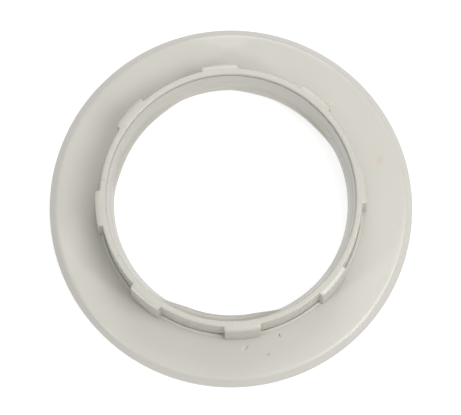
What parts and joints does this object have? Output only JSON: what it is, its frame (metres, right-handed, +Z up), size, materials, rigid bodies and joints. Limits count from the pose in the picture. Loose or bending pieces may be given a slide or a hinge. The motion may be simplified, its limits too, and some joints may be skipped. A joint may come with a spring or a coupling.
{
  "type": "toilet flange",
  "caption": "Round toilet flange: a wide wall plate with a captive, lugged, internally threaded collar that turns in it, and a gasket underneath.",
  "frame": {"origin": "on the bore's axis, at the gasket's underside, which lies on the floor", "axes": "+Z up along the bore's axis, from the floor towards the collar's lip"},
  "size_m": [0.178, 0.178, 0.0311],
  "materials": {
    "ivory_plastic": "satin injection moulding, off-white",
    "white_acetal": "satin, machined",
    "black_rubber": "matte"
  },
  "bodies": {
    "flange": {"flange_plate": "ivory_plastic", "sealing_gasket": "black_rubber"},
    "collar": {"locking_collar": "ivory_plastic", "retaining_ring": "white_acetal"},
    "washer": {"slip_washer": "white_acetal"}
  },
  "joints": [
    {"name": "collar_turn", "type": "hinge", "parent": "flange", "child": "collar", "pos_m": [0, 0, 0.0051], "axis": [0, 0, 1], "continuous": true},
    {"name": "washer_turn", "type": "hinge", "parent": "flange", "child": "washer", "pos_m": [0, 0, 0.00725], "axis": [0, 0, 1], "continuous": true}
  ]
}
